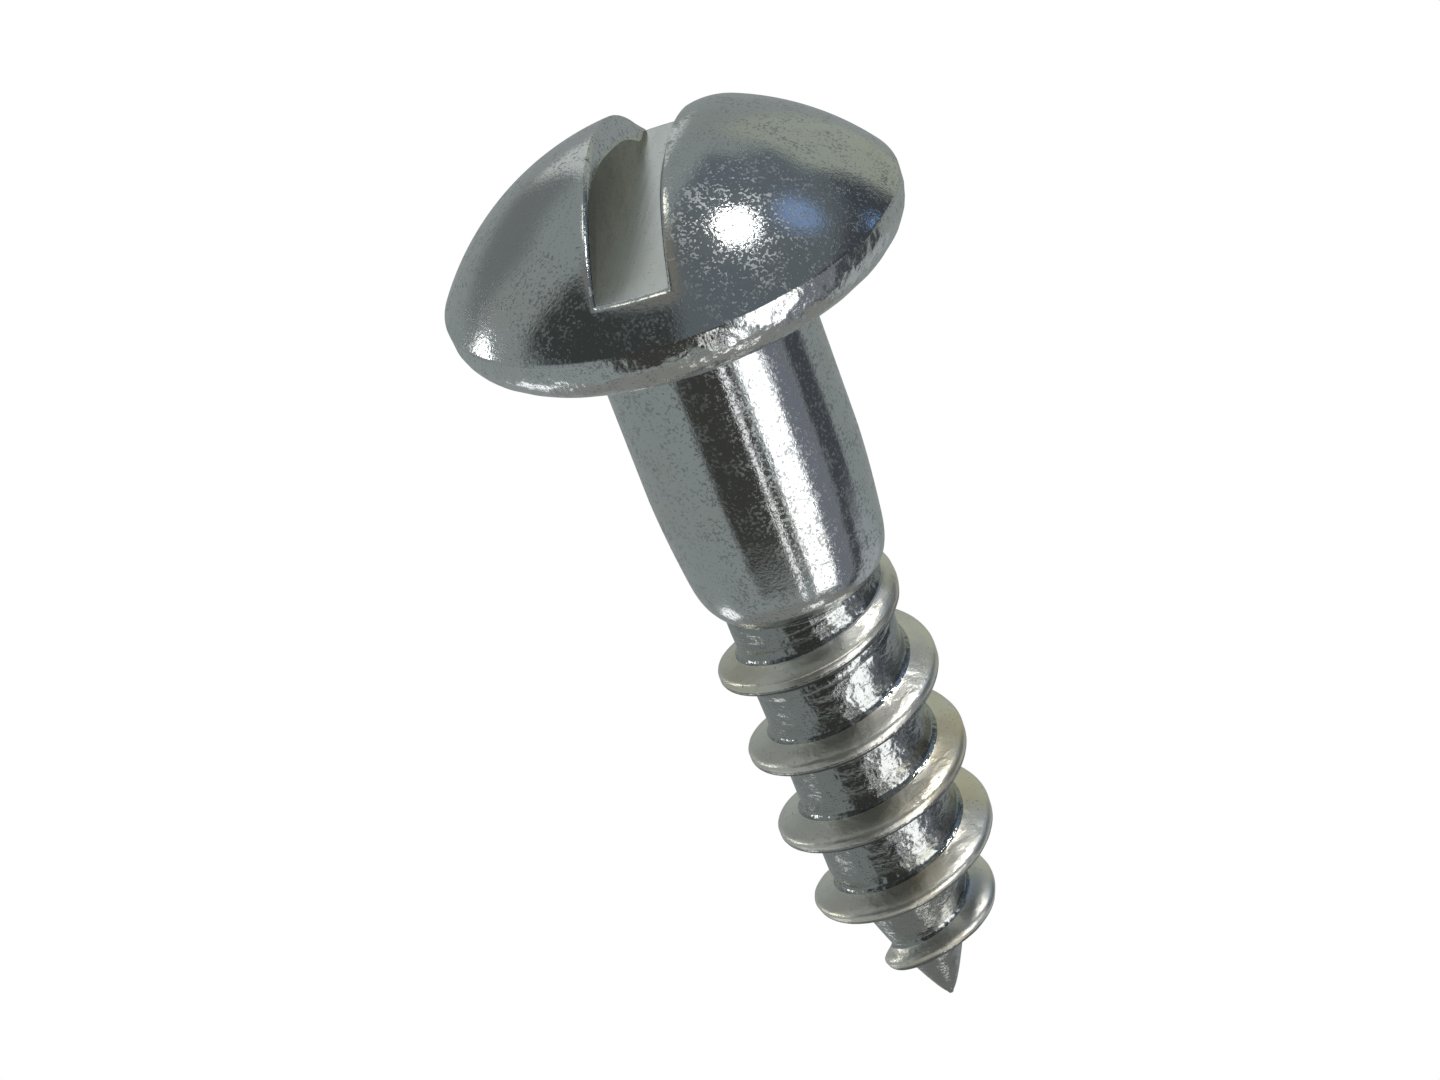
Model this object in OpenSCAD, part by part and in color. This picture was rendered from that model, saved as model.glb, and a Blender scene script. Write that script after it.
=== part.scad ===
// Slotted round-head wood screw in zinc plated steel.
// The origin is the centre of the head's bearing face. +Z runs out through the head, the tip lies down -Z,
// and the driver slot runs along Y. The thread is right-handed.

/* [Head] */
// Diameter of the head
head_d = 8.1; // [7.6:0.1:8.4]
// Height of the head above its bearing face
head_h = 3.05; // [2.8:0.05:3.4]
// Height of the crease round the head, where the dome ends, above its bearing face
band_h = 0.93; // [0.8:0.01:1.1]
// Radius of the rolled edge between the crease and the bearing face
rim_r = 0.75; // [0.3:0.05:0.8]
// Width of the driver slot
slot_w = 1.24; // [1.0:0.04:1.4]
// Depth of the driver slot below the top of the dome
slot_depth = 1.45; // [1.2:0.05:1.7]
// Radius of the fillet between the bearing face and the shank
fillet_r = 0.15; // [0.05:0.05:0.25]

/* [Shank] */
// Diameter of the plain shank
shank_d = 3.88; // [3.84:0.02:4.0]
// Distance from the bearing face to the end of the plain cylinder
plain_len = 3.4; // [3.0:0.1:4.0]
// Distance from the bearing face to the start of the rounded shoulder
taper_end = 5.1; // [4.8:0.1:5.4]
// Distance from the bearing face to the end of the shank
shank_len = 6.1; // [6.0:0.05:6.2]
// Diameter of the shank at the start of its rounded shoulder
shoulder_d = 3.66; // [3.5:0.02:3.8]

/* [Thread] */
// Distance from the bearing face to the tip
length = 15.5; // [15.3:0.1:16.4]
// Advance of the thread in one turn
pitch = 1.74; // [1.7:0.02:1.84]
// Diameter over the thread's crest
thread_d = 3.84; // [3.7:0.02:3.84]
// Diameter of the core where it leaves the shank
core_d = 2.9; // [2.7:0.02:3.0]
// Diameter of the core where the point starts
core_end_d = 2.66; // [2.5:0.02:2.7]
// Distance from the bearing face to the start of the point
point_start = 11.9; // [11.6:0.1:12.2]
// Width of the ridge at its crest
crest_w = 0.16; // [0.08:0.02:0.2]
// Width of the ridge's flank towards the head
upper_flank_w = 0.3; // [0.15:0.01:0.4]
// Width of the ridge's flank towards the tip
lower_flank_w = 0.32; // [0.15:0.01:0.5]
// Angle about the axis of the thread's helix, at the level of the bearing face
thread_turn = 263; // [0:1:359]

/* [Hidden] */
$fn = 96;

steel = "silver";
shank_r = shank_d / 2;
shoulder_r = shoulder_d / 2;
crest_r = thread_d / 2;
neck_len = 0.4;

// The dome is one sphere, which ends in a crease above the rolled edge.
dome_rise = head_h - band_h;
dome_r = (pow(head_d / 2, 2) + pow(dome_rise, 2)) / (2 * dome_rise);
dome_z = head_h - dome_r;

// The shoulder is an arc that leaves the tapered shank and ends at the core.
shoulder_drop = shank_len - taper_end;
shoulder_step = shoulder_r - core_d / 2;
shoulder_arc_r = (pow(shoulder_drop, 2) + pow(shoulder_step, 2)) / (2 * shoulder_step);
shoulder_sweep = asin(shoulder_drop / shoulder_arc_r);
shoulder_steps = 10;

// The point is a slender cone, slightly rounded, with a small blunt end.
tip_r = 0.06;
point_steps = 12;
point_power = 0.75;

// The ridge grows from nothing below the shoulder, and shrinks to nothing short of the tip.
ring_count = 48;
ridge_top = 6.35;
ridge_full = 6.95;
ridge_fade = 11.1;
ridge_end = 14.95;
ridge_run_out = 0.9;
fade_power = 2.3;
least_height = 0.03;
least_share = 0.1;

function blend(t) = let (c = max(0, min(1, t))) c * c * (3 - 2 * c);

// Point on the shoulder's arc, from 0 at the tapered shank to 1 at the core
function shoulder_point(t) = [
    shoulder_r - shoulder_arc_r * (1 - cos(t * shoulder_sweep)),
    -taper_end - shoulder_arc_r * sin(t * shoulder_sweep)
];

function point_r(depth) =
    let (t = max(0, (length - depth) / (length - point_start)))
    max(tip_r, core_end_d / 2 * pow(t, point_power));

function core_r(depth) =
    depth > point_start
    ? point_r(depth)
    : core_d / 2 + (core_end_d - core_d) / 2 * (depth - shank_len) / (point_start - shank_len);

// How far the crest stands above the core at a depth below the bearing face
function ridge_height(depth) =
    let (shrink = pow(max(0, depth - ridge_fade) / (length - ridge_fade), fade_power))
    let (full = crest_r * (1 - shrink) - core_r(depth))
    let (start = blend((depth - ridge_top) / (ridge_full - ridge_top)))
    let (end = blend((ridge_end - depth) / ridge_run_out))
    max(least_height, full * start * end);

// Section of the ridge as [share of its height, place along the axis], from the flank nearer the head
// over the crest to the flank nearer the tip
function ridge_section(share) =
    let (half = crest_w / 2 * share)
    let (upper = upper_flank_w * share)
    let (lower = lower_flank_w * share)
    [
        [0, half + upper], [0.35, half + 0.4 * upper], [0.9, half], [1, half / 2],
        [1, -half / 2], [0.9, -half], [0, -half - lower]
    ];

function ridge_ring(depth) =
    let (height = ridge_height(depth))
    let (share = max(least_share, min(1, height / (crest_r - core_d / 2))))
    let (angle = thread_turn - 360 * depth / pitch)
    [for (p = ridge_section(share))
        let (r = core_r(depth - p[1]) + p[0] * height)
        [r * cos(angle), r * sin(angle), -depth + p[1]]];

module head_outline() {
    intersection() {
        translate([0, dome_z])
        circle(dome_r);
        translate([0, band_h])
        square([head_d, head_h]);
    }
    translate([0, rim_r])
    square([head_d / 2, band_h - rim_r]);
    square([head_d / 2 - rim_r, rim_r]);
    intersection() {
        translate([head_d / 2 - rim_r, rim_r])
        circle(rim_r);
        square([head_d, rim_r]);
    }
    translate([0, -neck_len])
    square([shank_r, neck_len]);
    translate([shank_r, -fillet_r])
    difference() {
        square(fillet_r);
        translate([fillet_r, 0])
        circle(fillet_r);
    }
}

module head() {
    color(steel)
    difference() {
        rotate_extrude()
        head_outline();
        translate([-slot_w / 2, -head_d, head_h - slot_depth])
        cube([slot_w, 2 * head_d, head_h]);
    }
}

module shank() {
    color(steel)
    rotate_extrude()
    polygon([
        [0, -neck_len], [shank_r, -neck_len], [shank_r, -plain_len],
        for (i = [0:shoulder_steps]) shoulder_point(i / shoulder_steps),
        [0, -shank_len]
    ]);
}

module core() {
    color(steel)
    translate([0, 0, -point_start])
    cylinder(h = point_start - shank_len, r1 = core_end_d / 2, r2 = core_d / 2);
}

module thread() {
    rings = ceil((ridge_end - ridge_top) / pitch * ring_count);
    side = len(ridge_section(1));
    points = [for (i = [0:rings]) each ridge_ring(ridge_top + (ridge_end - ridge_top) * i / rings)];
    walls = [
        for (i = [0:rings - 1])
        for (j = [0:side - 1])
        let (a = i * side + j)
        let (b = i * side + (j + 1) % side)
        each [[a, b + side, b], [a, a + side, b + side]]
    ];
    first_cap = [for (j = [0:side - 1]) j];
    last_cap = [for (j = [side - 1:-1:0]) rings * side + j];
    color(steel)
    polyhedron(points = points, faces = concat(walls, [first_cap, last_cap]), convexity = 12);
}

module point() {
    step = (length - point_start) / point_steps;
    color(steel)
    rotate_extrude()
    polygon([
        [0, -point_start],
        for (i = [0:point_steps]) [point_r(point_start + i * step), -point_start - i * step],
        [0, -length]
    ]);
}

head();
shank();
core();
thread();
point();
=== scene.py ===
"""Visual model of a slotted round-head wood screw in bright zinc plated steel.

The screw's axis is Z, with the head up, and the centre of the head's bearing face is at the origin. Sizes in the
classes below are in millimetres, and each mesh is brought to metres as its last step.
"""

import logging
import math
from dataclasses import dataclass
from enum import Enum, IntEnum
from typing import Callable

import bmesh
import bpy
from mathutils import Matrix, Vector, noise


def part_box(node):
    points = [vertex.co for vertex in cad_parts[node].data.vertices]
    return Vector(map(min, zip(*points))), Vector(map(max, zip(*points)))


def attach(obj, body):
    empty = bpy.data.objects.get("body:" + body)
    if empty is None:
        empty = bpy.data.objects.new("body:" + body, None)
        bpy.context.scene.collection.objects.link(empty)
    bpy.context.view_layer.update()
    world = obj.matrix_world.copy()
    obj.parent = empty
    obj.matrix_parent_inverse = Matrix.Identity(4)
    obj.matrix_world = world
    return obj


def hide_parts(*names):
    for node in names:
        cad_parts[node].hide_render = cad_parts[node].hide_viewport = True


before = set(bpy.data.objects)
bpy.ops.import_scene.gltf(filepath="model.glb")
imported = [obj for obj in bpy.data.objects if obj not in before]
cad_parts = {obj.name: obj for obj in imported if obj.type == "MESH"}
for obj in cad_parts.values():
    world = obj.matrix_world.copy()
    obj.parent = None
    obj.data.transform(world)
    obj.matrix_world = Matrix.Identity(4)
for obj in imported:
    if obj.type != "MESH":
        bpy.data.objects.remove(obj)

LOG = logging.getLogger("wood_screw")
MM = 0.001
FLOOR_GAP = 0.05
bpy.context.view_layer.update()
UP = (0.0, 0.0, 1.0)

# How near two places of a mesh are when they count as the same, in millimetres
CLOSE = 1e-4

Colour = tuple[float, float, float, float]
Outline = list[tuple[float, float]]
Place = tuple[float, float, float]


# ---------------------------------------------------------------- shader maths


class Sock:
    """A shader socket, with Python's operators standing for Math nodes."""

    def __init__(self, bench: "Bench", link: bpy.types.NodeSocket) -> None:
        """Wraps a socket.

        Args:
            bench: the bench that adds the nodes.
            link: the output socket.
        """
        self.bench = bench
        self.link = link

    def _math(self, operation: str, *terms: object) -> "Sock":
        """Adds one Math node.

        Args:
            operation: the node's operation.
            terms: the numbers or sockets of its inputs, in order.

        Returns:
            The node's value.
        """
        inputs = dict(enumerate(terms))
        return self.bench.node("ShaderNodeMath", {"operation": operation}, inputs)

    def __add__(self, other: object) -> "Sock":
        """Sum."""
        return self._math("ADD", self, other)

    def __radd__(self, other: object) -> "Sock":
        """Sum, with the number first."""
        return self._math("ADD", other, self)

    def __sub__(self, other: object) -> "Sock":
        """Difference."""
        return self._math("SUBTRACT", self, other)

    def __rsub__(self, other: object) -> "Sock":
        """Difference, with the number first."""
        return self._math("SUBTRACT", other, self)

    def __mul__(self, other: object) -> "Sock":
        """Product."""
        return self._math("MULTIPLY", self, other)

    def __rmul__(self, other: object) -> "Sock":
        """Product, with the number first."""
        return self._math("MULTIPLY", other, self)

    def __abs__(self) -> "Sock":
        """Size without sign."""
        return self._math("ABSOLUTE", self)

    def wrap(self, low: float, high: float) -> "Sock":
        """The value brought between low and high, as an angle is."""
        return self._math("WRAP", self, high, low)

    def asin(self) -> "Sock":
        """Arcsine, in radians."""
        return self._math("ARCSINE", self)

    def atan2(self, other: "Sock") -> "Sock":
        """Angle whose sine is this value and whose cosine is the other, in radians."""
        return self._math("ARCTAN2", self, other)

    def clamp(self) -> "Sock":
        """The value held between 0 and 1."""
        return self.bench.node("ShaderNodeClamp", {}, {"Value": self})

    def step(self, low: float, high: float) -> "Sock":
        """A smooth rise from 0 at low to 1 at high.

        Args:
            low: where the rise starts.
            high: where the rise ends; less than low for a fall.

        Returns:
            The value of the rise.
        """
        settings = {"interpolation_type": "SMOOTHSTEP"}
        return self.bench.node("ShaderNodeMapRange", settings, {"Value": self, "From Min": low, "From Max": high})


class Bench:
    """Adds nodes to one node tree."""

    def __init__(self, tree: bpy.types.NodeTree) -> None:
        """Takes over a node tree, and clears it.

        Args:
            tree: the tree to build in.
        """
        self.tree = tree
        tree.nodes.clear()

    def node(self, kind: str, settings: dict, inputs: dict, output: int | str = 0) -> Sock:
        """Adds any node.

        Args:
            kind: the node's type.
            settings: its properties, set first.
            inputs: values, colours or sockets, by the input's name or number.
            output: the output that is wanted, by name or number.

        Returns:
            That output.
        """
        made = self.tree.nodes.new(kind)
        for name, value in settings.items():
            setattr(made, name, value)
        for name, value in inputs.items():
            if isinstance(value, Sock):
                self.tree.links.new(value.link, made.inputs[name])
            else:
                made.inputs[name].default_value = value
        return Sock(self, made.outputs[output])

    def mix(self, share: object, first: object, second: object) -> Sock:
        """Mixes two colours.

        Args:
            share: how much of the second there is, from 0 to 1.
            first: colour or socket at 0.
            second: colour or socket at 1.

        Returns:
            The mixed colour.
        """
        return self.node("ShaderNodeMix", {"data_type": "RGBA"}, {0: share, 6: first, 7: second}, 2)

    def grains(self, place: Sock, size: float, detail: float = 2.0, rough: float = 0.5) -> Sock:
        """Adds a noise pattern.

        Args:
            place: the place on the piece, in millimetres.
            size: the size of a grain, in millimetres.
            detail: how many octaves there are.
            rough: how strong the finer octaves are.

        Returns:
            The pattern's value, about 0.5.
        """
        inputs = {"Vector": place, "Scale": 1.0 / size, "Detail": detail, "Roughness": rough}
        return self.node("ShaderNodeTexNoise", {}, inputs, "Fac")

    def scaled(self, place: Sock, factors: Place) -> Sock:
        """A place with each of its coordinates multiplied."""
        return self.node("ShaderNodeVectorMath", {"operation": "MULTIPLY"}, {0: place, 1: factors})

    def surface(self, shader: Sock, output: str = "ShaderNodeOutputMaterial") -> None:
        """Sends a shader to the tree's output."""
        end = self.tree.nodes.new(output)
        self.tree.links.new(shader.link, end.inputs["Surface"])


# ---------------------------------------------------------------- finish


class Marks(Enum):
    """Which way the fine tool marks on a surface run, as factors on its coordinates."""

    CLOUDED = (1.0, 1.0, 1.0)
    DRAWN = (1.0, 1.0, 0.05)
    SAWN = (1.0, 0.03, 1.0)
    ROLLED = (0.35, 0.35, 1.3)


# Specks lie closer together in patches. The patch's size is in specks, and the rest are levels of the patterns.
PATCH_SIZE = 6.0
PATCH_SHARE = 0.45
SPECK_LEVEL = 0.66
SPECK_SPREAD = 0.16
SPECK_DULLING = 0.6
MARK_ROUGHNESS = 0.1
STAIN_SIZE = 2.2
STAIN_LEVELS = (0.46, 0.68)


@dataclass(frozen=True)
class Zinc:
    """Bright zinc plating on steel: polished metal with fine etched specks, tool marks and warm stains.

    Lengths are in millimetres.
    """

    name: str
    marks: Marks = Marks.CLOUDED
    clean: Colour = (0.64, 0.66, 0.665, 1.0)
    warm: Colour = (0.62, 0.575, 0.47, 1.0)
    dull: Colour = (0.3, 0.31, 0.32, 1.0)
    roughness: float = 0.11
    speck_roughness: float = 0.3
    speck_size: float = 0.045
    speck_depth: float = 0.003
    specks: float = 0.82
    mark_size: float = 0.12
    mark_depth: float = 0.001
    ripple_size: float = 0.5
    ripple_depth: float = 0.004
    stain: float = 0.25

    def material(self) -> bpy.types.Material:
        """Builds the material.

        Returns:
            The material.
        """
        made = bpy.data.materials.new(self.name)
        made.use_nodes = True
        bench = Bench(made.node_tree)
        place = bench.node("ShaderNodeTexCoord", {}, {}, "Object")
        place = bench.scaled(place, (1 / MM, 1 / MM, 1 / MM))
        fine = bench.grains(place, self.speck_size, rough=0.6)
        patch = bench.grains(place, PATCH_SIZE * self.speck_size, 3.0, 0.6)
        marks = bench.grains(bench.scaled(place, self.marks.value), self.mark_size, 3.0, 0.6)
        ripple = bench.grains(place, self.ripple_size)
        cloud = bench.grains(place, STAIN_SIZE)
        low = SPECK_LEVEL - SPECK_SPREAD * self.specks
        speck = (fine + PATCH_SHARE * (patch - 0.5)).step(low, low + SPECK_SPREAD)
        tint = bench.mix(cloud.step(*STAIN_LEVELS) * self.stain, self.clean, self.warm)
        colour = bench.mix(speck * SPECK_DULLING, tint, self.dull)
        rough = (self.roughness + speck * self.speck_roughness + (marks - 0.5) * MARK_ROUGHNESS).clamp()
        height = fine * self.speck_depth + marks * self.mark_depth + ripple * self.ripple_depth
        bump = bench.node("ShaderNodeBump", {}, {"Strength": 1.0, "Distance": MM, "Height": height})
        inputs = {"Base Color": colour, "Metallic": 1.0, "Roughness": rough, "Normal": bump}
        bench.surface(bench.node("ShaderNodeBsdfPrincipled", {}, inputs))
        return made


POLISHED = Zinc("polished_zinc", roughness=0.09, speck_roughness=0.42, speck_size=0.055, specks=0.85)
EDGED = Zinc(
    "rolled_edge_zinc",
    clean=(0.7, 0.72, 0.725, 1.0),
    ripple_size=0.4,
    ripple_depth=0.05,
    specks=0.9,
)
DRAWN = Zinc("drawn_zinc", Marks.DRAWN, roughness=0.1, speck_size=0.06, speck_depth=0.0025, specks=0.95)
# Painted light: the slot's floor, which faces up, gets a paler base colour than any other zinc here.
SAWN = Zinc(
    "sawn_floor_painted_light_zinc",
    Marks.SAWN,
    clean=(0.85, 0.87, 0.87, 1.0),
    roughness=0.32,
    mark_depth=0.006,
    stain=0.1,
    specks=0.2,
)
# Painted shade: the slot's walls get a dark base colour for the shade inside the slot; their warm tint is partly a
# stain and partly a painted reflection.
SHADED_SLOT_WALL = Zinc(
    "slot_wall_painted_shade_zinc",
    Marks.SAWN,
    clean=(0.34, 0.335, 0.29, 1.0),
    warm=(0.28, 0.26, 0.2, 1.0),
    roughness=0.4,
    stain=1.0,
)
# Painted shade: the base colour is darkened for the shade between the thread's turns; the crests and the point
# share this finish.
ROLLED = Zinc(
    "rolled_zinc_painted_shade",
    Marks.ROLLED,
    clean=(0.44, 0.455, 0.45, 1.0),
    warm=(0.4, 0.38, 0.3, 1.0),
    roughness=0.15,
    mark_depth=0.012,
    ripple_size=0.28,
    ripple_depth=0.04,
    specks=0.7,
)
# Painted light: the upper flanks get a pale base colour, so they read as lit; their warm tint is partly a stain
# and partly a painted reflection.
LIT_FLANK = Zinc(
    "lit_and_stained_flank_zinc",
    Marks.ROLLED,
    clean=(0.9, 0.88, 0.8, 1.0),
    warm=(0.95, 0.85, 0.62, 1.0),
    roughness=0.34,
    mark_depth=0.01,
    ripple_size=0.35,
    ripple_depth=0.02,
    stain=1.0,
    specks=0.3,
)
SHADED = Zinc(
    "shaded_zinc",
    Marks.ROLLED,
    clean=(0.2, 0.2, 0.19, 1.0),
    warm=(0.16, 0.15, 0.12, 1.0),
    roughness=0.3,
    specks=0.2,
)


# ---------------------------------------------------------------- mesh helpers


def reach(node: str) -> tuple[Vector, Vector]:
    """The lowest and highest corners of a node of the frame, in millimetres."""
    low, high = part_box(node)
    return Vector(low) / MM, Vector(high) / MM


def ease(t: float) -> float:
    """A smooth rise from 0 to 1 as t goes from 0 to 1."""
    t = max(0.0, min(1.0, t))
    return t * t * (3 - 2 * t)


def arc(centre: tuple[float, float], radius: float, start: float, end: float, steps: int) -> Outline:
    """Points along an arc in the outline's plane.

    Args:
        centre: the arc's centre, as (radius from the axis, height).
        radius: the arc's radius.
        start: the angle of its first point, in degrees from outwards.
        end: the angle of its last point.
        steps: how many chords it has.

    Returns:
        The points, both ends included.
    """
    angles = [math.radians(start + (end - start) * i / steps) for i in range(steps + 1)]
    return [(centre[0] + radius * math.cos(a), centre[1] + radius * math.sin(a)) for a in angles]


def turned(outline: Outline, segments: int) -> bmesh.types.BMesh:
    """Turns an outline about the axis, as on a lathe.

    Args:
        outline: its (radius, height) points, from the axis at the top to the axis at the bottom.
        segments: how many steps there are round the axis.

    Returns:
        The closed mesh.
    """
    made = bmesh.new()
    verts = [made.verts.new((x, 0.0, z)) for x, z in outline]
    edges = [made.edges.new(pair) for pair in zip(verts, verts[1:])]
    bmesh.ops.spin(
        made, geom=verts + edges, cent=(0, 0, 0), axis=UP, angle=math.tau, steps=segments, use_merge=True
    )
    bmesh.ops.remove_doubles(made, verts=made.verts, dist=CLOSE)
    bmesh.ops.recalc_face_normals(made, faces=made.faces)
    return made


def finished(made: bmesh.types.BMesh, name: str, crisp: float = 35.0) -> bpy.types.Object:
    """Turns a mesh in millimetres into an object in metres.

    Args:
        made: the mesh, which is freed.
        name: the object's name.
        crisp: edges sharper than this many degrees stay crisp.

    Returns:
        The object, linked to the scene.
    """
    bmesh.ops.transform(made, matrix=Matrix.Scale(MM, 4), verts=made.verts)
    limit = math.radians(crisp)
    for face in made.faces:
        face.smooth = True
    for edge in made.edges:
        edge.smooth = len(edge.link_faces) == 2 and edge.calc_face_angle(0.0) < limit
    mesh = bpy.data.meshes.new(name)
    made.to_mesh(mesh)
    made.free()
    piece = bpy.data.objects.new(name, mesh)
    bpy.context.collection.objects.link(piece)
    return piece


# ---------------------------------------------------------------- head


class HeadArea(IntEnum):
    """Which finish a face of the head has: the slot's floor takes painted light, and its walls painted shade."""

    DOME = 0
    FLOOR = 1
    WALL = 2
    EDGE = 3


@dataclass
class Head:
    """The round head: one domed cap with a rolled edge, a driver slot and a short neck.

    Lengths are in millimetres. The dome is folded down beside the slot, and the rolled edge has slight dents.
    """

    polish: Zinc
    sawn: Zinc
    wall: Zinc
    edge: Zinc
    width: float
    neck_end: float
    height: float = 3.05
    band: float = 0.93
    rim: float = 0.75
    crease: float = 0.12
    slot_width: float = 1.24
    slot_depth: float = 1.45
    neck_radius: float = 1.94
    fillet: float = 0.15
    slice_margin: float = 0.2
    edge_round: float = 0.09
    lean: float = 0.42
    lean_power: float = 1.5
    fold: float = 0.2
    fold_power: float = 2.0
    fold_reach: float = 0.8
    wear_start: float = -2.0
    wear_run: float = 3.2
    wear_rise: float = 0.6
    dent_size: float = 0.55
    dent_depth: float = 0.03
    dent_drop: float = 0.25
    dent_margin: float = 0.5
    dent_spread: float = 0.6
    segments: int = 224
    dome_steps: int = 44
    crease_steps: int = 8
    edge_steps: int = 12
    seat_steps: int = 4
    fillet_steps: int = 6
    round_steps: int = 5

    def outline(self) -> Outline:
        """The head's half outline, from the top of the dome to the middle of the neck's end.

        Returns:
            The (radius, height) points.
        """
        side = self.width / 2
        rise = self.height - self.band
        dome_r = (side**2 + rise**2) / (2 * rise)
        dome_z = self.height - dome_r
        crease_z = dome_z + math.sqrt((dome_r - self.crease) ** 2 - (side - self.crease) ** 2)
        lean = math.degrees(math.atan2(crease_z - dome_z, side - self.crease))
        dome = arc((0, dome_z), dome_r, 90, lean, self.dome_steps)
        crease = arc((side - self.crease, crease_z), self.crease, lean, 0, self.crease_steps)
        edge = arc((side - self.rim, self.rim), self.rim, 0, -90, self.edge_steps)
        inner = self.neck_radius + self.fillet
        flat = side - self.rim
        seat = [(flat + (inner - flat) * i / self.seat_steps, 0.0) for i in range(1, self.seat_steps)]
        neck = arc((inner, -self.fillet), self.fillet, 90, 180, self.fillet_steps)
        end = [(self.neck_radius, self.neck_end), (0.0, self.neck_end)]
        return dome + crease[1:] + edge + seat + neck + end

    def build(self) -> bpy.types.Object:
        """Makes the head.

        Returns:
            The finished piece.
        """
        made = turned(self.outline(), self.segments)
        self._cut_slot(made)
        for face in made.faces:
            if face.calc_center_median().z < self.band - self.crease / 2:
                face.material_index = HeadArea.EDGE
        piece = finished(made, "round_head")
        for zinc in (self.polish, self.sawn, self.wall, self.edge):
            piece.data.materials.append(zinc.material())
        return piece

    def _cut_slot(self, made: bmesh.types.BMesh) -> None:
        """Saws the driver slot through the dome, along Y, rounds its edges, and adds the wear and the dents.

        Args:
            made: the turned head.
        """
        half = self.slot_width / 2
        floor = self.height - self.slot_depth
        rim = self._open_slot(made, half, floor)
        corners = []
        for x in (-half, half):
            spots = {v for e in rim for v in e.verts if self._near(v.co.x, x) and self._near(v.co.z, floor)}
            corners.append(made.edges.new(sorted(spots, key=lambda v: v.co.y)))
        sides = [
            [e for e in rim if all(self._near(v.co.x, x) for v in e.verts)] + [corner]
            for x, corner in zip((-half, half), corners)
        ]
        sides.append([e for e in rim if all(self._near(v.co.z, floor) for v in e.verts)] + corners)
        for side, area in zip(sides, (HeadArea.WALL, HeadArea.WALL, HeadArea.FLOOR)):
            for face in bmesh.ops.contextual_create(made, geom=side)["faces"]:
                face.material_index = area
        bmesh.ops.recalc_face_normals(made, faces=made.faces)
        rounded = bmesh.ops.bevel(
            made,
            geom=rim,
            offset=self.edge_round,
            offset_type="OFFSET",
            segments=self.round_steps,
            profile=0.5,
            affect="EDGES",
            clamp_overlap=False,
            material=-1,
        )
        for face in rounded["faces"]:
            face.material_index = HeadArea.DOME
        for vert in made.verts:
            vert.co.z -= self._wear(vert.co)
            dent = self._dent(vert.co)
            vert.co.x *= 1 - dent
            vert.co.y *= 1 - dent

    def _dent(self, place: Vector) -> float:
        """How far the rolled edge is knocked in, as a share of its distance from the axis.

        Args:
            place: a place on the head.

        Returns:
            The share.
        """
        distance = math.hypot(place.x, place.y)
        outside = distance - self.neck_radius - self.dent_margin
        window = ease((self.band - place.z) / self.dent_drop) * ease(outside / self.dent_spread)
        return self.dent_depth * abs(noise.noise(place / self.dent_size)) * window / max(distance, 1.0)

    def _wear(self, place: Vector) -> float:
        """How far the dome has been pressed down beside the slot, which is more towards +Y.

        Args:
            place: a place on the head.

        Returns:
            The drop there.
        """
        floor = self.height - self.slot_depth
        gap = abs(place.x) - self.slot_width / 2
        if gap < -10 * CLOSE or place.z < floor:
            return 0.0
        drop = self.lean * max(0.0, 1 - max(0.0, gap) / self.edge_round) ** self.lean_power
        if place.x > 0:
            drop += self.fold * max(0.0, 1 - max(0.0, gap) / self.fold_reach) ** self.fold_power
        along = ease((place.y - self.wear_start) / self.wear_run)
        return drop * along * ease((place.z - floor) / self.wear_rise)

    def _open_slot(self, made: bmesh.types.BMesh, half: float, floor: float) -> list[bmesh.types.BMEdge]:
        """Opens the dome along the slot's outline, with an even band of faces round the opening.

        Args:
            made: the turned head.
            half: half the slot's width.
            floor: the height of the slot's floor.

        Returns:
            The edges of the opening.
        """
        outer, lower = half + 2 * self.edge_round, floor - 2 * self.edge_round
        for x in (half, outer, -half, -outer):
            self._slice(made, lambda c: c.z > lower - self.slice_margin, (x, 0, 0), (1, 0, 0))
        for z in (floor, lower):
            self._slice(made, lambda c: abs(c.x) < outer and c.z > self.band / 2, (0, 0, z), UP)
        hole, band = set(), set()
        for face in made.faces:
            middle = face.calc_center_median()
            if abs(middle.x) < half and middle.z > floor:
                hole.add(face)
            elif abs(middle.x) < outer and middle.z > lower:
                band.add(face)
        rim = [e for e in made.edges if hole & set(e.link_faces) and band & set(e.link_faces)]
        border = [e for e in made.edges if len(band & set(e.link_faces)) == 1 and e not in set(rim)]
        bmesh.ops.delete(made, geom=[*hole, *band], context="FACES_ONLY")
        kept = set(rim)
        bmesh.ops.delete(made, geom=[e for e in made.edges if e.is_wire and e not in kept], context="EDGES")
        bmesh.ops.delete(made, geom=[v for v in made.verts if not v.link_edges], context="VERTS")
        bmesh.ops.bridge_loops(made, edges=rim + border)
        return rim

    @staticmethod
    def _near(value: float, wanted: float) -> bool:
        """Whether two lengths are the same to within the mesh's accuracy."""
        return abs(value - wanted) < CLOSE

    @staticmethod
    def _slice(made: bmesh.types.BMesh, wanted: Callable[[Vector], bool], point: Place, normal: Place) -> None:
        """Cuts the wanted faces along a plane, and keeps both sides.

        Args:
            made: the mesh.
            wanted: says from its middle whether a face is cut.
            point: a point on the plane.
            normal: the plane's normal.
        """
        faces = [f for f in made.faces if wanted(f.calc_center_median())]
        edges = {e for f in faces for e in f.edges}
        verts = {v for f in faces for v in f.verts}
        geom = [*verts, *edges, *faces]
        bmesh.ops.bisect_plane(made, geom=geom, dist=CLOSE, plane_co=point, plane_no=normal)


# ---------------------------------------------------------------- shank and thread


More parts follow.
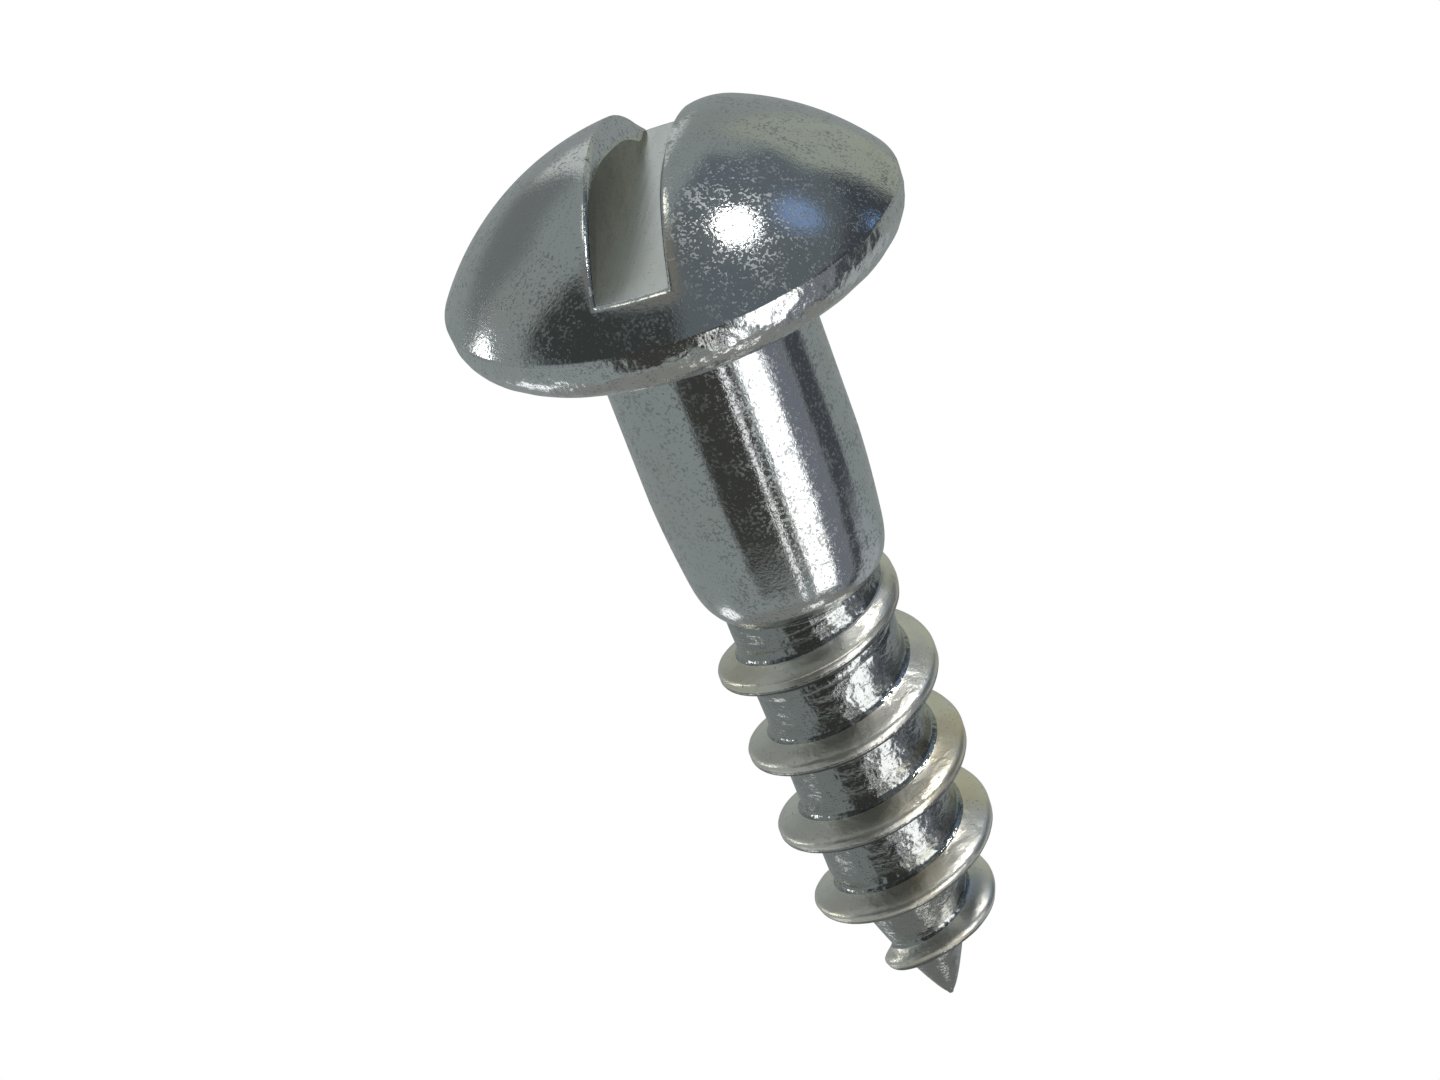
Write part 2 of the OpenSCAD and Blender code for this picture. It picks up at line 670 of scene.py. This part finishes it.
@dataclass
class Shank:
    """The plain shank: a cylinder that narrows slightly towards its shoulder. Lengths are in millimetres."""

    finish: Zinc
    top: float
    plain: float = 3.4
    end: float = 5.1
    radius: float = 1.94
    end_radius: float = 1.83
    narrowing: float = 1.6
    segments: int = 224
    steps: int = 24

    def radius_at(self, depth: float) -> float:
        """Radius of the shank.

        Args:
            depth: distance below the bearing face.

        Returns:
            The radius.
        """
        t = max(0.0, (depth - self.plain) / (self.end - self.plain))
        return self.radius - (self.radius - self.end_radius) * t**self.narrowing

    def end_slope(self) -> float:
        """How fast the radius falls with depth at the shank's end."""
        return self.narrowing * (self.radius - self.end_radius) / (self.end - self.plain)

    def build(self) -> bpy.types.Object:
        """Makes the shank.

        Returns:
            The finished piece.
        """
        depths = [self.top + (self.end - self.top) * i / self.steps for i in range(self.steps + 1)]
        side = [(self.radius_at(depth), -depth) for depth in depths]
        piece = finished(turned([(0.0, -self.top), *side, (0.0, -self.end)], self.segments), "plain_shank")
        piece.data.materials.append(self.finish.material())
        return piece


class ThreadArea(IntEnum):
    """Which finish a face of the threaded part has: painted light on the upper flanks, and painted shade on the
    rest below the shoulder.
    """

    ROOT = 0
    UPPER = 1
    UNDER = 2
    SHOULDER = 3


@dataclass
class Thread:
    """The lower part of the screw: the shank's shoulder, the core, the helical ridge and the gimlet point.

    Lengths are in millimetres. Places along the screw are distances below the bearing face.
    """

    finish: Zinc
    flank: Zinc
    under: Zinc
    shank: Shank
    length: float
    shoulder_end: float = 6.1
    pitch: float = 1.74
    turn: float = 263.0
    crest_radius: float = 1.92
    core_radius: float = 1.45
    core_end_radius: float = 1.33
    point_start: float = 11.9
    shoulder_power: float = 3.5
    shoulder_lip: float = 0.05
    point_power: float = 0.75
    tip_radius: float = 0.05
    tip_cut: float = 0.02
    crest: float = 0.12
    crest_drop: float = 0.06
    upper: float = 0.34
    upper_power: float = 1.15
    lower: float = 0.3
    lower_power: float = 0.7
    ridge_top: float = 5.5
    ridge_full: float = 7.3
    ridge_fade: float = 11.1
    fade_power: float = 2.3
    ridge_end: float = 14.85
    run_out: float = 0.9
    steps_per_turn: int = 144
    rows: int = 44
    least_height: float = 0.1
    least_share: float = 0.12
    dent_size: float = 0.7
    dent_depth: float = 0.012
    dent_rise: float = 0.5
    scoring_top: float = 5.6
    scoring_rise: float = 0.4
    scoring_end: float = 7.4
    scoring_fade: float = 0.5
    scoring_reach: float = 0.42
    scoring_edge: float = 0.15
    scoring_gap: float = 0.21
    scoring_depth: float = 0.035
    seam_depth: float = 0.05
    seam_reach: float = 0.08
    nick_at: float = 13.85
    nick_reach: float = 0.42
    nick_share: float = 0.5

    def section(self) -> Outline:
        """One pitch of the master thread.

        Returns:
            Its points as (share of the ridge's height, place along the axis), from above the ridge to below it.
        """
        places = [self.pitch * (0.5 - i / self.rows) for i in range(self.rows + 1)]
        return [(self._ridge_share(place), place) for place in places]

    def _ridge_share(self, place: float) -> float:
        """How high the ridge stands at a place along its section.

        Args:
            place: distance from the crest's middle, towards the head.

        Returns:
            The share of the full height, from 0 to 1.
        """
        place += self.crest_drop
        flank = self.upper if place > 0 else self.lower
        share = ease(1 - (abs(place) - self.crest / 2) / flank)
        return share ** (self.upper_power if place > 0 else self.lower_power)

    def body_radius(self, depth: float) -> float:
        """Radius of the metal under the ridge.

        Args:
            depth: distance below the bearing face.

        Returns:
            The radius.
        """
        top = self.shank.end
        if depth < self.shoulder_end:
            t = max(0.0, (depth - top) / (self.shoulder_end - top))
            steady = self.shank.end_slope() * (self.shoulder_end - top)
            sharp = self.shank.end_radius - self.core_radius - steady
            return self.shank.end_radius - steady * t - sharp * t**self.shoulder_power
        if depth < self.point_start:
            t = (depth - self.shoulder_end) / (self.point_start - self.shoulder_end)
            return self.core_radius + (self.core_end_radius - self.core_radius) * t
        t = max(0.0, (self.length - depth) / (self.length - self.point_start))
        return max(self.tip_radius, self.core_end_radius * t**self.point_power)

    def ridge_height(self, depth: float) -> float:
        """How far the ridge's crest stands above the metal under it.

        Args:
            depth: distance of the crest below the bearing face.

        Returns:
            The height, which is nothing where the ridge has run out.
        """
        fade = max(0.0, depth - self.ridge_fade) / (self.length - self.ridge_fade)
        crest = self.crest_radius * (1 - min(1.0, fade) ** self.fade_power)
        grown = ease((depth - self.ridge_top) / (self.ridge_full - self.ridge_top))
        ended = ease((self.ridge_end - depth) / self.run_out)
        nick = self.nick_share * ease(1 - abs(depth - self.nick_at) / self.nick_reach)
        return max(0.0, crest - self.body_radius(depth)) * grown * ended * (1 - nick)

    def build(self) -> bpy.types.Object:
        """Makes the threaded part.

        Returns:
            The finished piece.
        """
        made = self._master()
        self._shape(made)
        for depth, side in ((self.shank.end, 1), (self.length - self.tip_cut, -1)):
            geom, level = [*made.verts, *made.edges, *made.faces], (0, 0, -depth)
            bmesh.ops.bisect_plane(
                made, geom=geom, dist=CLOSE / 10, plane_co=level, plane_no=(0, 0, side), clear_outer=True
            )
        bmesh.ops.holes_fill(made, edges=[e for e in made.edges if e.is_boundary], sides=0)
        bmesh.ops.recalc_face_normals(made, faces=made.faces)
        for face in made.faces:
            face.material_index = self._area(face.calc_center_median())
        piece = finished(made, "thread_and_point", crisp=60.0)
        for zinc in (self.finish, self.flank, self.under, self.shank.finish):
            piece.data.materials.append(zinc.material())
        return piece

    def _crest_depth(self, place: Vector) -> float:
        """Distance below the bearing face of the ridge's crest that is nearest a place, at the same angle.

        Args:
            place: the place.

        Returns:
            The distance.
        """
        angle = math.degrees(math.atan2(place.y, place.x))
        lap = round((self.turn - angle) / 360.0 + place.z / self.pitch)
        return (self.turn - angle - 360.0 * lap) * self.pitch / 360.0

    def _area(self, place: Vector) -> ThreadArea:
        """Which finish a place has.

        Args:
            place: the middle of a face.

        Returns:
            The shoulder's above the seam, a flank's where the ridge stands high enough, the root's elsewhere.
        """
        if -place.z < self.shoulder_end - self.shoulder_lip:
            return ThreadArea.SHOULDER
        crest_depth = self._crest_depth(place)
        share = self._ridge_share(crest_depth + place.z)
        if self.ridge_height(crest_depth) < self.least_height or share < self.least_share:
            return ThreadArea.ROOT
        above = crest_depth + place.z + self.crest_drop
        if above > 0:
            return ThreadArea.UPPER
        return ThreadArea.UNDER if above < -self.crest / 2 else ThreadArea.ROOT

    def _master(self) -> bmesh.types.BMesh:
        """Winds the section into a straight thread, whose radius is 1 at the root and 2 at the crest.

        Returns:
            The open mesh, which reaches past both ends of the threaded part.
        """
        made = bmesh.new()
        start = self.pitch - self.shank.end
        verts = [made.verts.new((1.0 + share, 0.0, start + place)) for share, place in self.section()]
        edges = [made.edges.new(pair) for pair in zip(verts, verts[1:])]
        first = math.radians(self.turn) + math.tau * (start / self.pitch)
        bmesh.ops.rotate(made, verts=verts, cent=(0, 0, 0), matrix=Matrix.Rotation(first, 3, "Z"))
        bmesh.ops.spin(
            made,
            geom=verts + edges,
            cent=(0, 0, 0),
            axis=UP,
            dvec=(0, 0, -self.pitch / self.steps_per_turn),
            angle=-math.tau,
            steps=self.steps_per_turn,
        )
        lap = [*made.verts, *made.edges, *made.faces]
        for turn in range(1, math.ceil((self.length - self.shank.end) / self.pitch) + 2):
            copy = bmesh.ops.duplicate(made, geom=lap)["geom"]
            moved = [item for item in copy if isinstance(item, bmesh.types.BMVert)]
            bmesh.ops.translate(made, verts=moved, vec=(0, 0, -self.pitch * turn))
        bmesh.ops.remove_doubles(made, verts=made.verts, dist=10 * CLOSE)
        return made

    def _scoring(self, crest_depth: float, depth: float) -> float:
        """Depth of the seam at the shoulder, and of the fine grooves that the die leaves beside the ridge's start.

        Args:
            crest_depth: distance of the ridge's crest below the bearing face, at the same angle.
            depth: distance of the place itself.

        Returns:
            The depth of the groove there.
        """
        started = ease((crest_depth - self.scoring_top) / self.scoring_rise)
        ended = ease((self.scoring_end - crest_depth) / self.scoring_fade)
        across = crest_depth - depth
        edge = ease((self.pitch * self.scoring_reach - abs(across)) / self.scoring_edge)
        groove = max(0.0, math.cos(math.tau * across / self.scoring_gap)) ** 3
        seam = max(0.0, 1 - abs(depth + self.shoulder_lip - self.shoulder_end) / self.seam_reach)
        return self.seam_depth * seam + self.scoring_depth * started * ended * edge * groove

    def _shape(self, made: bmesh.types.BMesh) -> None:
        """Gives the master thread its real radii: shoulder, seam, grooves, run-out, taper, point and slight dents.

        Args:
            made: the master thread.
        """
        for vert in made.verts:
            radius = math.hypot(vert.co.x, vert.co.y)
            depth = -vert.co.z
            crest_depth = self._crest_depth(vert.co)
            wanted = self.body_radius(depth) + (radius - 1.0) * self.ridge_height(crest_depth)
            wanted -= self._scoring(crest_depth, depth)
            dent = abs(noise.noise(vert.co / self.dent_size))
            wanted -= self.dent_depth * dent * ease((depth - self.shoulder_end) / self.dent_rise)
            vert.co.x *= wanted / radius
            vert.co.y *= wanted / radius


# ---------------------------------------------------------------- studio


class Shape(Enum):
    """Outline of a light or flag in the studio."""

    ROUND = "round"
    SQUARE = "square"


@dataclass(frozen=True)
class Card:
    """A soft-edged light or dark flag round the screw, by the direction it stands in.

    Angles are in degrees: the turn is counter-clockwise from +X, and the lift is above the horizon.
    """

    turn: float
    lift: float
    width: float
    height: float
    colour: tuple[float, float, float]
    soft: float = 6.0
    shape: Shape = Shape.SQUARE

    def mask(self, turn: Sock, lift: Sock, way: Sock) -> Sock:
        """Where the card is seen.

        Args:
            turn: the turn of each direction.
            lift: the lift of each direction.
            way: each direction as a vector.

        Returns:
            1 on the card, and 0 off it.
        """
        if self.shape is Shape.ROUND:
            inputs = {0: way, 1: self._middle()}
            facing = turn.bench.node("ShaderNodeVectorMath", {"operation": "DOT_PRODUCT"}, inputs, "Value")
            near, far = math.radians(self.width / 2), math.radians(self.width / 2 + self.soft)
            return facing.step(math.cos(far), math.cos(near))
        across = abs((turn - self.turn).wrap(-180.0, 180.0)).step(self.width / 2 + self.soft, self.width / 2)
        along = abs(lift - self.lift).step(self.height / 2 + self.soft, self.height / 2)
        return across * along

    def _middle(self) -> Place:
        """The direction of the card's middle, as a unit vector."""
        turn, lift = math.radians(self.turn), math.radians(self.lift)
        return (math.cos(turn) * math.cos(lift), math.sin(turn) * math.cos(lift), math.sin(lift))


# The room's own glow, and the cards in front of it, each over the one before
PAPER = (0.30, 0.33, 0.325)
CARDS = (
    Card(0, -90, 360, 68, (0.26, 0.265, 0.25), 10),
    Card(-47, 57, 222, 76, (0.14, 0.165, 0.185)),
    Card(62, 72, 30, 40, (0.145, 0.17, 0.195)),
    Card(-132, 44, 76, 22, (0.052, 0.057, 0.055), 10),
    Card(-130, 76, 90, 20, (0.22, 0.215, 0.19), 8),
    Card(-92, -5, 54, 62, (0.055, 0.055, 0.05), 6),
    Card(-16, -14, 22, 84, (0.2, 0.215, 0.25), 5),
    Card(14, -14, 22, 84, (0.07, 0.075, 0.085), 6),
    Card(20, 17, 64, 18, (0.065, 0.075, 0.09), 8),
    Card(136, 23, 24, 16, (0.19, 0.205, 0.21), 12),
    Card(68, 15, 24, 34, (0.39, 0.42, 0.36), 8),
    Card(39, -46, 40, 16, (0.42, 0.45, 0.47), 8),
    Card(112, 27, 12, 26, (0.62, 0.65, 0.63), 5),
    Card(130, 72, 36, 10, (1.8, 1.8, 1.6), 3),
    Card(-42, -10, 24, 72, (2.2, 2.2, 2.2), 3.5),
    Card(-72, -20, 2, 60, (1.6, 1.6, 1.6), 2),
    Card(6, 67.5, 6.5, 6.5, (32.0, 32.0, 32.0), 2, Shape.ROUND),
    Card(22, 46, 6, 6, (0.26, 0.38, 0.62), 7, Shape.ROUND),
    Card(32, 19, 3, 3, (0.25, 0.42, 0.75), 3, Shape.ROUND),
    Card(165, 11, 7, 7, (5.0, 5.0, 5.0), 3, Shape.ROUND),
    Card(-60, -70, 40, 5, (1.6, 1.6, 1.5), 3),
    Card(170, -44, 26, 5, (1.4, 1.4, 1.4), 4),
)


@dataclass
class Studio:
    """A plain pale floor and backdrop, soft studio light and the camera. Lengths are in millimetres."""

    floor_height: float
    distance: float = 65.0
    azimuth: float = -74.6
    elevation: float = 28.5
    target: Place = (0.026, 0.003, -6.008)
    aim: Place = (-1.139, 0.239, -5.021)
    roll: float = 20.99
    lens: float = 91.71
    sensor: float = 36.0
    near: float = 1.0
    far: float = 10000.0
    room: float = 600.0

    def camera(self) -> None:
        """Places the scene's camera."""
        data = bpy.data.cameras.new("camera")
        data.sensor_width = self.sensor
        data.lens = self.lens
        data.clip_start = self.near * MM
        data.clip_end = self.far * MM
        made = bpy.data.objects.new("camera", data)
        turn, lift = math.radians(self.azimuth), math.radians(self.elevation)
        away = Vector((math.cos(turn) * math.cos(lift), math.sin(turn) * math.cos(lift), math.sin(lift)))
        place = Vector(self.target) + away * self.distance
        look = (Vector(self.aim) - place).to_track_quat("-Z", "Y").to_matrix().to_4x4()
        lean = Matrix.Rotation(math.radians(-self.roll), 4, "Z")
        made.matrix_world = Matrix.Translation(place * MM) @ look @ lean
        bpy.context.collection.objects.link(made)
        bpy.context.scene.camera = made

    def backdrop(self) -> None:
        """Lays a plain pale floor under the tip, with a pale backdrop all round it."""
        made = bmesh.new()
        bmesh.ops.create_uvsphere(made, u_segments=64, v_segments=32, radius=self.room)
        geom = [*made.verts, *made.edges, *made.faces]
        level = (0, 0, self.floor_height)
        bmesh.ops.bisect_plane(made, geom=geom, dist=CLOSE, plane_co=level, plane_no=(0, 0, -1), clear_outer=True)
        bmesh.ops.holes_fill(made, edges=[e for e in made.edges if e.is_boundary], sides=0)
        piece = finished(made, "backdrop")
        pale = bpy.data.materials.new("pale_backdrop")
        pale.use_nodes = True
        bench = Bench(pale.node_tree)
        bench.surface(bench.node("ShaderNodeEmission", {}, {"Color": (1, 1, 1, 1), "Strength": 1.0}))
        piece.data.materials.append(pale)
        piece.visible_glossy = False
        piece.visible_diffuse = False
        piece.visible_shadow = False

    def lights(self) -> None:
        """Hangs the studio's cards round the screw."""
        world = bpy.data.worlds.new("studio")
        world.use_nodes = True
        bpy.context.scene.world = world
        bpy.context.scene.view_settings.view_transform = "Standard"
        bench = Bench(world.node_tree)
        way = bench.node("ShaderNodeTexCoord", {}, {}, "Generated")
        x, y, z = (bench.node("ShaderNodeSeparateXYZ", {}, {0: way}, axis) for axis in "XYZ")
        turn = y.atan2(x) * math.degrees(1.0)
        lift = z.asin() * math.degrees(1.0)
        light = None
        for card in CARDS:
            light = bench.mix(card.mask(turn, lift, way), light or (*PAPER, 1.0), (*card.colour, 1.0))
        glow = bench.node("ShaderNodeBackground", {}, {"Color": light, "Strength": 1.0})
        bench.surface(glow, "ShaderNodeOutputWorld")


def main() -> None:
    """Builds the studio and every piece of the screw, in order."""
    logging.basicConfig(level=logging.INFO, format="%(name)s: %(message)s")
    head_low, head_high = reach("head")
    tip = reach("point")[0].z
    studio = Studio(floor_height=tip - FLOOR_GAP)
    studio.camera()
    studio.backdrop()
    studio.lights()
    head = Head(POLISHED, SAWN, SHADED_SLOT_WALL, EDGED, width=head_high.x - head_low.x, neck_end=head_low.z)
    shank = Shank(DRAWN, top=-head_low.z)
    thread = Thread(ROLLED, LIT_FLANK, SHADED, shank, length=-tip)
    makers = ((head, ("head",)), (shank, ("shank",)), (thread, ("core", "thread", "point")))
    for maker, nodes in makers:
        piece = maker.build()
        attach(piece, "root")
        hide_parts(*nodes)
        LOG.info("%s: %d faces", piece.name, len(piece.data.polygons))


if __name__ == "__main__":
    main()
